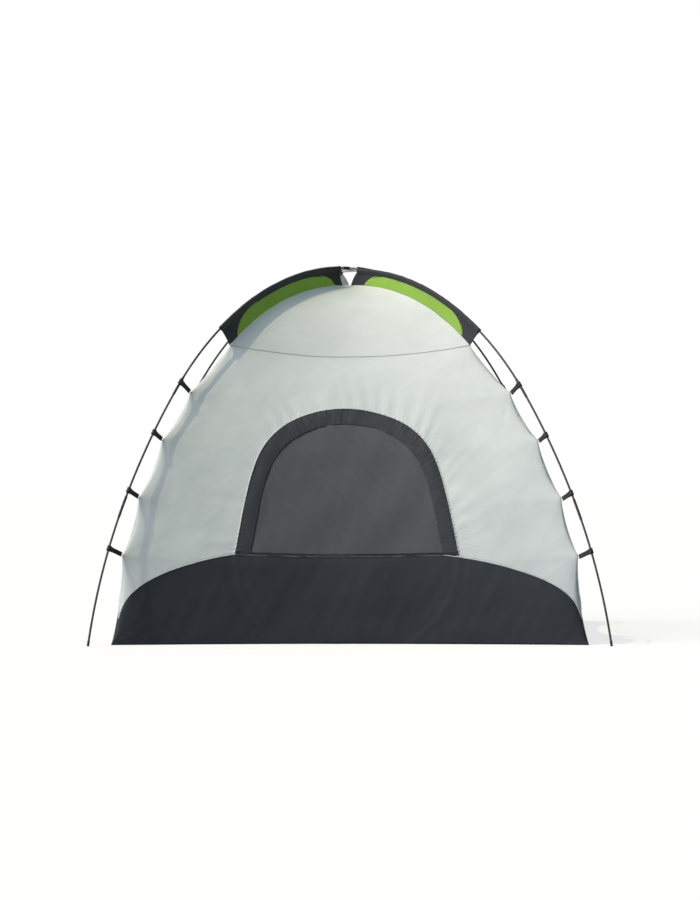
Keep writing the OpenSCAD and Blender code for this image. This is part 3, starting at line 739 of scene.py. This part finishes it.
# Puts several grids of one shape into a single mesh
def gridsMesh(name, grids):
    meshes = [gridMesh(name + str(i), points, uv) for i, (points, uv) in enumerate(grids)]
    whole = meshes[0]
    with bpy.context.temp_override(active_object=whole, object=whole, selected_objects=meshes,
                                   selected_editable_objects=meshes):
        bpy.ops.object.join()
    whole.name = whole.data.name = name
    return whole


for k, leg in enumerate(legNames):
    piece = gridsMesh("webLoops_" + leg, [loopGrid(k, n) for n in (1, 2, 3, 4)])
    piece.data.materials.append(webbing)
    thicken(piece, web["thickness"], 1.0)
    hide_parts("loops_" + leg)
    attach(piece, "tent")
print("webbing loops made")

border = {"columns": 460, "rows": 18, "gather": 0.0007, "puff": 0.0022}


# The border between the window's outline and the mesh, puffed at its middle and gathered at both edges;
# it loses the wall's creases towards the mesh, so that the mesh stays behind it
def windowBorder():
    a = archAngles(border["columns"], window["form"])[None, :]
    q = np.linspace(0, 1, border["rows"])[:, None]
    half = window["width"] / 2
    x0, s0 = arch(a, half - 0.0005, window["height"] - 0.001, window["shift"], window["sill"] - 0.001,
                  window["form"])
    x1, s1 = arch(a, half - window["border"], window["height"] - window["topBorder"] * window["border"],
                  window["shift"], window["sill"] - 0.001, window["form"])
    x, s = x0 + (x1 - x0) * q, s0 + (s1 - s0) * q
    u = x / halfWidth(s)
    around = np.cumsum(np.hypot(np.gradient(x0[0]), np.gradient(s0[0])))[None, :]
    atEdges = 0.25 + 0.75 * np.abs(2 * q - 1) ** 1.5
    raised = border["gather"] * unevenWave(around + 0.01 * q, 0.021, 31) * atEdges
    raised = raised + border["puff"] * np.sin(math.pi * q) ** 0.7 + 0.0007 * unevenField(x, s, 0.07, 32)
    uv = np.stack(np.broadcast_arrays(around, q * window["border"]), axis=-1)
    raised = raised + clothRelief(u, s, 0) * (1 - smooth(q * 1.15))
    return panelPoints(u, s, 0, raised, withRelief=False), uv, panelPoints(u, s, 0, withRelief=False)


points, uv, smoothPoints = windowBorder()
addCloth("windowBorder", points, uv, [borderCloth], "window_border", 0.0008, "gathered",
         offset=-1, areaPoints=smoothPoints)


# A sheet that fills an arch: x across in even parts and s from the top down
def archFill(halfW, height, shift, sill, form, rows, columns):
    t = np.linspace(0.0, 1, rows)[:, None]
    a = np.interp(0.5 + 0.496 * t + 0.004, np.linspace(0, 1, 2001), archAngles(2000, form))
    x, s = arch(a, halfW, height, 0.0, sill, form)
    lean = form[3] * (sill - s) / height
    return np.broadcast_arrays((x + lean) * np.linspace(-1, 1, columns)[None, :] - shift - lean, s)


openHalf = window["width"] / 2 - window["border"]
openHeight = window["height"] - window["topBorder"] * window["border"]
meshFacts = {"under": 0.006, "deep": 0.0011, "drape": 0.0021, "fine": 0.0005, "rows": 130, "columns": 120}
x, s = archFill(openHalf + meshFacts["under"], openHeight + meshFacts["under"], window["shift"],
                window["sill"] - 0.001, window["form"], meshFacts["rows"], meshFacts["columns"])
spread = np.abs(np.linspace(-1, 1, meshFacts["columns"]))[None, :]
inside = smooth((1 - spread) * 9) * smooth(np.linspace(0, 1, meshFacts["rows"])[:, None] * 10)
sweep = np.hypot(x + 0.75, s - 1.05)
drape = meshFacts["drape"] * unevenField(sweep, 0.25 * np.arctan2(s - 1.05, x + 0.75), 0.19, 41)
drape = drape + meshFacts["fine"] * unevenField(x * 0.5 + s * 0.5, s - x, 0.06, 42)
points = panelPoints(x / halfWidth(s), s, 0, drape * inside - meshFacts["deep"], withRelief=False)
addCloth("windowMesh", points, np.stack([x, s], axis=-1), [meshCloth], "window_mesh", 0.0006,
         "stretched", offset=-1)

flap = {"half": openHalf + 0.020, "height": openHeight + 0.020,
        "sill": window["sill"] - 0.006, "deep": 0.015, "hinge": (0, -0.8812, 0.3828), "zip": 0.009}


# The flap keeps one outline from side to side, taken from the middle of the wall
def flapPoints(x, s, deep):
    middle = skin(np.zeros_like(s), s, 2, deep, rounded=False)
    return np.stack(np.broadcast_arrays(x, middle[..., 1], middle[..., 2]), axis=-1)


x, s = archFill(flap["half"] - 0.0015, flap["height"] - 0.0015, window["shift"], flap["sill"], roundForm,
                70, 70)
wave = 0.0016 * unevenField(x, s, 0.22, 44) * smooth((flap["sill"] - s) / 0.1)
piece = addCloth("privacyFlap", flapPoints(x, s, flap["deep"] + wave), np.stack([x, s], axis=-1), [flapCloth],
                 "window_flap", 0.0010, "hung", offset=-1, body=None)
top = flapPoints(np.zeros(1), np.array([flap["sill"] - 0.05]), flap["deep"])[0]
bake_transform(piece)
print("window made")


# An arch's points, evenly spaced along it, and the length to each
def archPath(halfW, height, shift, sill, count):
    a = np.linspace(math.pi, 0, 4001)
    x, s = arch(a, halfW, height, shift, sill)
    length = np.concatenate([[0], np.cumsum(np.hypot(np.diff(x), np.diff(s)))])
    even = np.linspace(0, length[-1], count)
    return np.interp(even, length, x), np.interp(even, length, s), even


# A tape with a coil along its middle: the coil is a tube whose radius rises and falls at each tooth
def addZip(name, halfW, height, shift, sill, width, surface, replaced, normal):
    inner, outer = (halfW, height), (halfW + width, height + width)
    a = archAngles(300)[None, :]
    q = np.linspace(0, 1, 5)[:, None]
    x0, s0 = arch(a, *outer, shift, sill)
    x1, s1 = arch(a, *inner, shift, sill)
    points = surface(x0 + (x1 - x0) * q, s0 + (s1 - s0) * q, 0.0)
    around = np.linspace(0, 1, 301)[None, :] * 2.6
    uv = np.stack(np.broadcast_arrays(around, q * width), axis=-1)
    addCloth(name + "Tape", points, uv, [zipTape], replaced, 0.0007, None, offset=-1)
    xs, ss, even = archPath(halfW + width / 2, height + width / 2, shift, sill, 3400)
    path = surface(xs, ss, 0.0009)
    radius = 0.0015 * (1 + 0.28 * np.sin(math.tau * even / 0.0042))
    coil = tubeMesh(name + "Coil", path, normal(xs, ss), radius * 0.8, radius, sides=6)
    coil.data.materials.append(zipTape)
    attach(coil, "tent")


addZip("flapZip", flap["half"] + 0.0015, flap["height"] + 0.0008, window["shift"], flap["sill"], flap["zip"],
       lambda x, s, lift: flapPoints(x, s, flap["deep"] + 0.0005 + lift), "window_zip",
       lambda x, s: -outwardAt(np.zeros_like(s), s))


# A point of the back wall's smooth surface, lifted a little off it
def doorSurface(x, s, lift):
    return panelPoints(x / halfWidth(s), s, 2, lift + 0.0004, withRelief=False)


# The back wall's outward direction at its middle
def doorNormal(x, s):
    return turnSide(outwardAt(np.zeros_like(x), s), 2)


addZip("doorZip", door["width"] / 2 - door["zip"] - 0.0015, door["height"] - door["zip"] - 0.0008, 0.0,
       door["sill"] - 0.0015, door["zip"], doorSurface, "door_zip", doorNormal)

x, s = archFill(door["width"] / 2 - door["zip"] - 0.003, door["height"] - door["zip"] - 0.003, 0.0,
                door["sill"] - 0.0015, roundForm, 150, 150)
doorWave = 0.0012 * unevenField(x, s, 0.3, 71) * smooth((door["sill"] - s) / 0.08)
points = panelPoints(x / halfWidth(s), s, 2, doorWave, withRelief=False)
piece = addCloth("doorSheet", points, np.stack([x, s], axis=-1), [canopyCloth], "door_panel",
                 0.0010, "hung", offset=-1, body=None)
doorLow = doorSurface(np.zeros(1), np.array([door["sill"] - 0.002]), 0.0)[0]
doorHigh = doorSurface(np.zeros(1), np.array([door["sill"] - 0.06]), 0.0)[0]
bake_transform(piece)
print("door made")

# Square grid drawn in on each side by the same hollow as the walls' lower edges
def floorGrid(count):
    a = np.linspace(-1, 1, count)
    u, v = np.meshgrid(a, a)
    line = float(floorLine(np.array([1.0]), 0)[0])
    edgeMiddle = [float(-skin(0.0, floorLine(np.array([0.0]), k)[0], flatOf(k))[1]) for k in range(4)]
    corner = float(halfWidth(line)) - 0.0045
    inHollow = [corner - (m - 0.0045) for m in edgeMiddle]
    backShare = np.where(v > 0, 1 - u ** 6, 1 - u ** 2)
    x = u * (corner - inHollow[1] * (1 - v ** 2))
    y = v * (corner - np.where(v > 0, inHollow[2], inHollow[0]) * backShare)
    z = 0.0016 + 0.00035 * unevenField(x, y, 0.3, 95)
    return np.stack([x, y, np.clip(z, 0.0011, 0.0022)], axis=-1), np.stack([x, y], axis=-1)


points, uv = floorGrid(90)
addCloth("groundSheetCloth", points, uv, [floorSheet], "groundsheet", 0.0010, "laid",
         offset=-1)


# A path on a side, with its creases, and the outward direction along it
def sidePath(u, s, k, lift):
    return panelPoints(u, s, k, lift), turnSide(outwardAt(u, s), k)


# A cord sewn along a path on a side: a tube, flattened where flatness is under 1
def addPiping(name, u, s, k, material, radius, lift, flatness=1.0):
    path, outward = sidePath(u, s, k, lift)
    piece = tubeMesh(name, path, outward, radius * flatness, radius, sides=8)
    piece.data.materials.append(material)
    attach(piece, "tent")


# Many small stitches along a path: each one is a thin bead that dips into the cloth at both ends
def addStitches(name, path, outward, pitch, material, radius=0.00032):
    length = np.concatenate([[0], np.cumsum(np.linalg.norm(np.diff(path, axis=0), axis=1))])
    starts = np.arange(pitch * 0.3, length[-1] - pitch, pitch)
    part = np.linspace(0, 0.72, 4)
    at = starts[:, None] + part[None, :] * pitch
    centre = np.stack([np.interp(at, length, path[:, i]) for i in range(3)], axis=-1)
    out = np.stack([np.interp(at, length, outward[:, i]) for i in range(3)], axis=-1)
    out /= np.linalg.norm(out, axis=-1, keepdims=True)
    along = centre[:, -1:] - centre[:, :1]
    along /= np.linalg.norm(along, axis=-1, keepdims=True)
    across = np.cross(along, out)
    rise = np.sin(math.pi * np.linspace(0.08, 0.92, 4))[None, :, None]
    centre = centre + out * (rise * radius * 1.7 - radius * 0.8)
    angle = np.linspace(0, math.tau, 4, endpoint=False) + math.pi / 4
    cosine, sine = np.cos(angle)[None, None, :, None], np.sin(angle)[None, None, :, None]
    ring = (centre[:, :, None] + radius * (0.45 + 0.55 * rise[:, :, None])
            * (cosine * out[:, :, None] + sine * across[:, :, None]))
    count = len(starts)
    index = np.arange(count * 16).reshape(count, 4, 4)
    nextIndex = np.roll(index, -1, axis=2)
    quads = np.stack([index[:, :-1], index[:, 1:], nextIndex[:, 1:], nextIndex[:, :-1]], axis=-1)
    quads = quads.reshape(-1, 4)
    caps = np.concatenate([index[:, 0], index[:, -1][:, ::-1]])
    mesh = bpy.data.meshes.new(name)
    mesh.from_pydata(ring.reshape(-1, 3).tolist(), [], np.concatenate([quads, caps]).tolist())
    mesh.shade_smooth()
    piece = bpy.data.objects.new(name, mesh)
    scene.collection.objects.link(piece)
    piece.data.materials.append(material)
    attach(piece, "tent")


whiteThread = principled("whiteThread", (0.62, 0.66, 0.64), 0.6, sheen=0.2)[0]
darkThread = principled("darkThread", (0.085, 0.09, 0.10), 0.55, sheen=0.2)[0]
blackThread = principled("blackThread", (0.02, 0.021, 0.025), 0.55, sheen=0.2)[0]

ends = 0.9985
for k, name in enumerate(sideNames):
    u = np.linspace(-ends, ends, 500)
    seam = seamAt(u)
    # A blue-grey cord just under the seam: painted shadow standing in for the shade under the roof's
    # overlapping seam
    addPiping("roofSeamPaintedShadow" + name.title(), u, seam + 0.0008, k, paintedSeamShadowCloth, 0.0017, 0.0006, 0.8)
    addPiping("roofHem" + name.title(), u, seam - 0.0042, k, pipingCloth, 0.0032, 0.0003, 0.35)
    path, outward = sidePath(u, seam - 0.0042, k, 0.0014)
    addStitches("roofStitches" + name.title(), path, outward, 0.0034, whiteThread)
    u = np.sin(np.linspace(-1, 1, 800) * math.pi / 2) * ends
    edge = tubEdge(u, k)
    addPiping("tubPiping" + name.title(), u, edge - 0.0012, k, pipingCloth, 0.0021, 0.0012)
    for row, drop in enumerate((0.005, 0.011)):
        path, outward = sidePath(u, edge + drop, k, 0.0003)
        addStitches("tubStitches" + name.title() + str(row), path, outward, 0.0036, darkThread)
print("seams made")

a = archAngles(900, window["form"])
half, tall = window["width"] / 2, window["height"]
for name, grow, material, radius, lift in (("windowPiping", 0.0022, pipingCloth, 0.0024, 0.0012),
                                           ("windowShadowLine", -0.0016, borderCloth, 0.0016, 0.0008)):
    x, s = arch(a, half + grow, tall + grow, window["shift"], window["sill"], window["form"])
    addPiping(name, x / halfWidth(s), s, 0, material, radius, lift)
rowsOfStitches = ((-0.006, whiteThread), (0.005, darkThread), (window["border"] - 0.004, darkThread))
for row, (inset, thread) in enumerate(rowsOfStitches):
    share = window["topBorder"] if inset > 0.05 else 1
    x, s = arch(a, half - inset, tall - inset * share, window["shift"], window["sill"] - 0.002,
                window["form"])
    path, outward = sidePath(x / halfWidth(s), s, 0, 0.0005 if inset < 0.05 else 0.0010)
    addStitches("windowStitches" + str(row), path, outward, 0.0034, thread)
a = archAngles(900)
x, s = arch(a, door["width"] / 2 + 0.0016, door["height"] + 0.0016, 0, door["sill"])
addPiping("doorPiping", x / halfWidth(s), s, 2, pipingCloth, 0.0020, 0.0008)
x, s = arch(a, door["width"] / 2 + 0.007, door["height"] + 0.007, 0, door["sill"])
path, outward = sidePath(x / halfWidth(s), s, 2, 0.0004)
addStitches("doorStitches", path, outward, 0.0034, whiteThread)

x = np.linspace(-0.507, 0.479, 300)
for name, rise, radius, lift in (("sillZip", 0.0115, 0.0026, 0.0010), ("sillHem", 0.0030, 0.0034, 0.0014)):
    s = np.full_like(x, window["sill"] - rise)
    addPiping(name, x / halfWidth(s), s, 0, zipTape, radius, lift)

for k, leg in enumerate(legNames):
    for side in (-1, 1):
        s = np.linspace(fin["start"][k] + 0.004, seamS - 0.003, 300)
        points = legPoint(k, *underPole(s, 0.0150, liftOf(k)), side * 0.0021)
        outward = np.broadcast_to(legPoint(k, 0.0, 0.0, float(side)), points.shape)
        addStitches("sleeveStitches_%s%d" % (leg, side > 0), points, outward, 0.0034, blackThread,
                    0.0003)
print("stitching made")

# Metal, paint or plastic: fine noise in object space makes the roughness uneven and raises it a little
def hardMaterial(name, colour, roughness, metallic, grain=180.0, uneven=0.1, coat=0.0, bump=0.05):
    mat, tree, shader = principled(name, colour, roughness, metallic, coat=coat)
    new, link = tree.nodes.new, tree.links.new
    place = new("ShaderNodeTexCoord")
    noise = new("ShaderNodeTexNoise")
    noise.inputs["Scale"].default_value = grain
    noise.inputs["Detail"].default_value = 4
    link(place.outputs["Object"], noise.inputs["Vector"])
    ramp = new("ShaderNodeMapRange")
    ramp.inputs["To Min"].default_value = roughness - uneven
    ramp.inputs["To Max"].default_value = roughness + uneven
    link(noise.outputs["Fac"], ramp.inputs["Value"])
    link(ramp.outputs["Result"], shader.inputs["Roughness"])
    raised = new("ShaderNodeBump")
    raised.inputs["Strength"].default_value = bump
    raised.inputs["Distance"].default_value = 0.0002
    link(noise.outputs["Fac"], raised.inputs["Height"])
    link(raised.outputs["Normal"], shader.inputs["Normal"])
    return mat


# One material for both kinds of ferrule: dark paint below a height and bare metal above it
def paintBelow(mat, dark, bare, height):
    tree = mat.node_tree
    new, link = tree.nodes.new, tree.links.new
    place = new("ShaderNodeTexCoord")
    split = new("ShaderNodeSeparateXYZ")
    link(place.outputs["Object"], split.inputs[0])
    above = new("ShaderNodeMath")
    above.operation = "GREATER_THAN"
    above.inputs[1].default_value = height
    link(split.outputs["Z"], above.inputs[0])
    tone = new("ShaderNodeMix")
    tone.data_type = "RGBA"
    tone.inputs["A"].default_value = (*dark, 1)
    tone.inputs["B"].default_value = (*bare, 1)
    link(above.outputs[0], tone.inputs["Factor"])
    link(tone.outputs["Result"], tree.nodes["Principled BSDF"].inputs["Base Color"])


poleMetal = hardMaterial("poleMetal", (0.045, 0.050, 0.058), 0.36, 0.35, coat=0.2)
ferrule = {"bare": (0.62, 0.63, 0.63), "painted": (0.050, 0.055, 0.062), "paintedTo": 1.62}
ferruleMetal = hardMaterial("ferruleMetal", ferrule["bare"], 0.30, 0.9)
paintBelow(ferruleMetal, ferrule["painted"], ferrule["bare"], ferrule["paintedTo"])
tipRubber = hardMaterial("tipRubber", (0.020, 0.021, 0.024), 0.7, 0.0)
bandPlastic = hardMaterial("bandPlastic", (0.012, 0.013, 0.015), 0.5, 0.0)
sliderMetal = hardMaterial("sliderMetal", (0.30, 0.31, 0.32), 0.32, 0.9)
# The first of these that begins or ends a node's name gives its material, so tips come before poles
finish = {"tips": tipRubber, "pole": poleMetal, "ferrules": ferruleMetal, "apex": bandPlastic,
          "slider": sliderMetal, "pull": sliderMetal}
for name, piece in nodes.items():
    kind = [m for key, m in finish.items() if name.startswith(key) or name.endswith(key)]
    if kind:
        piece.data.materials.clear()
        piece.data.materials.append(kind[0])
print("metal finished")
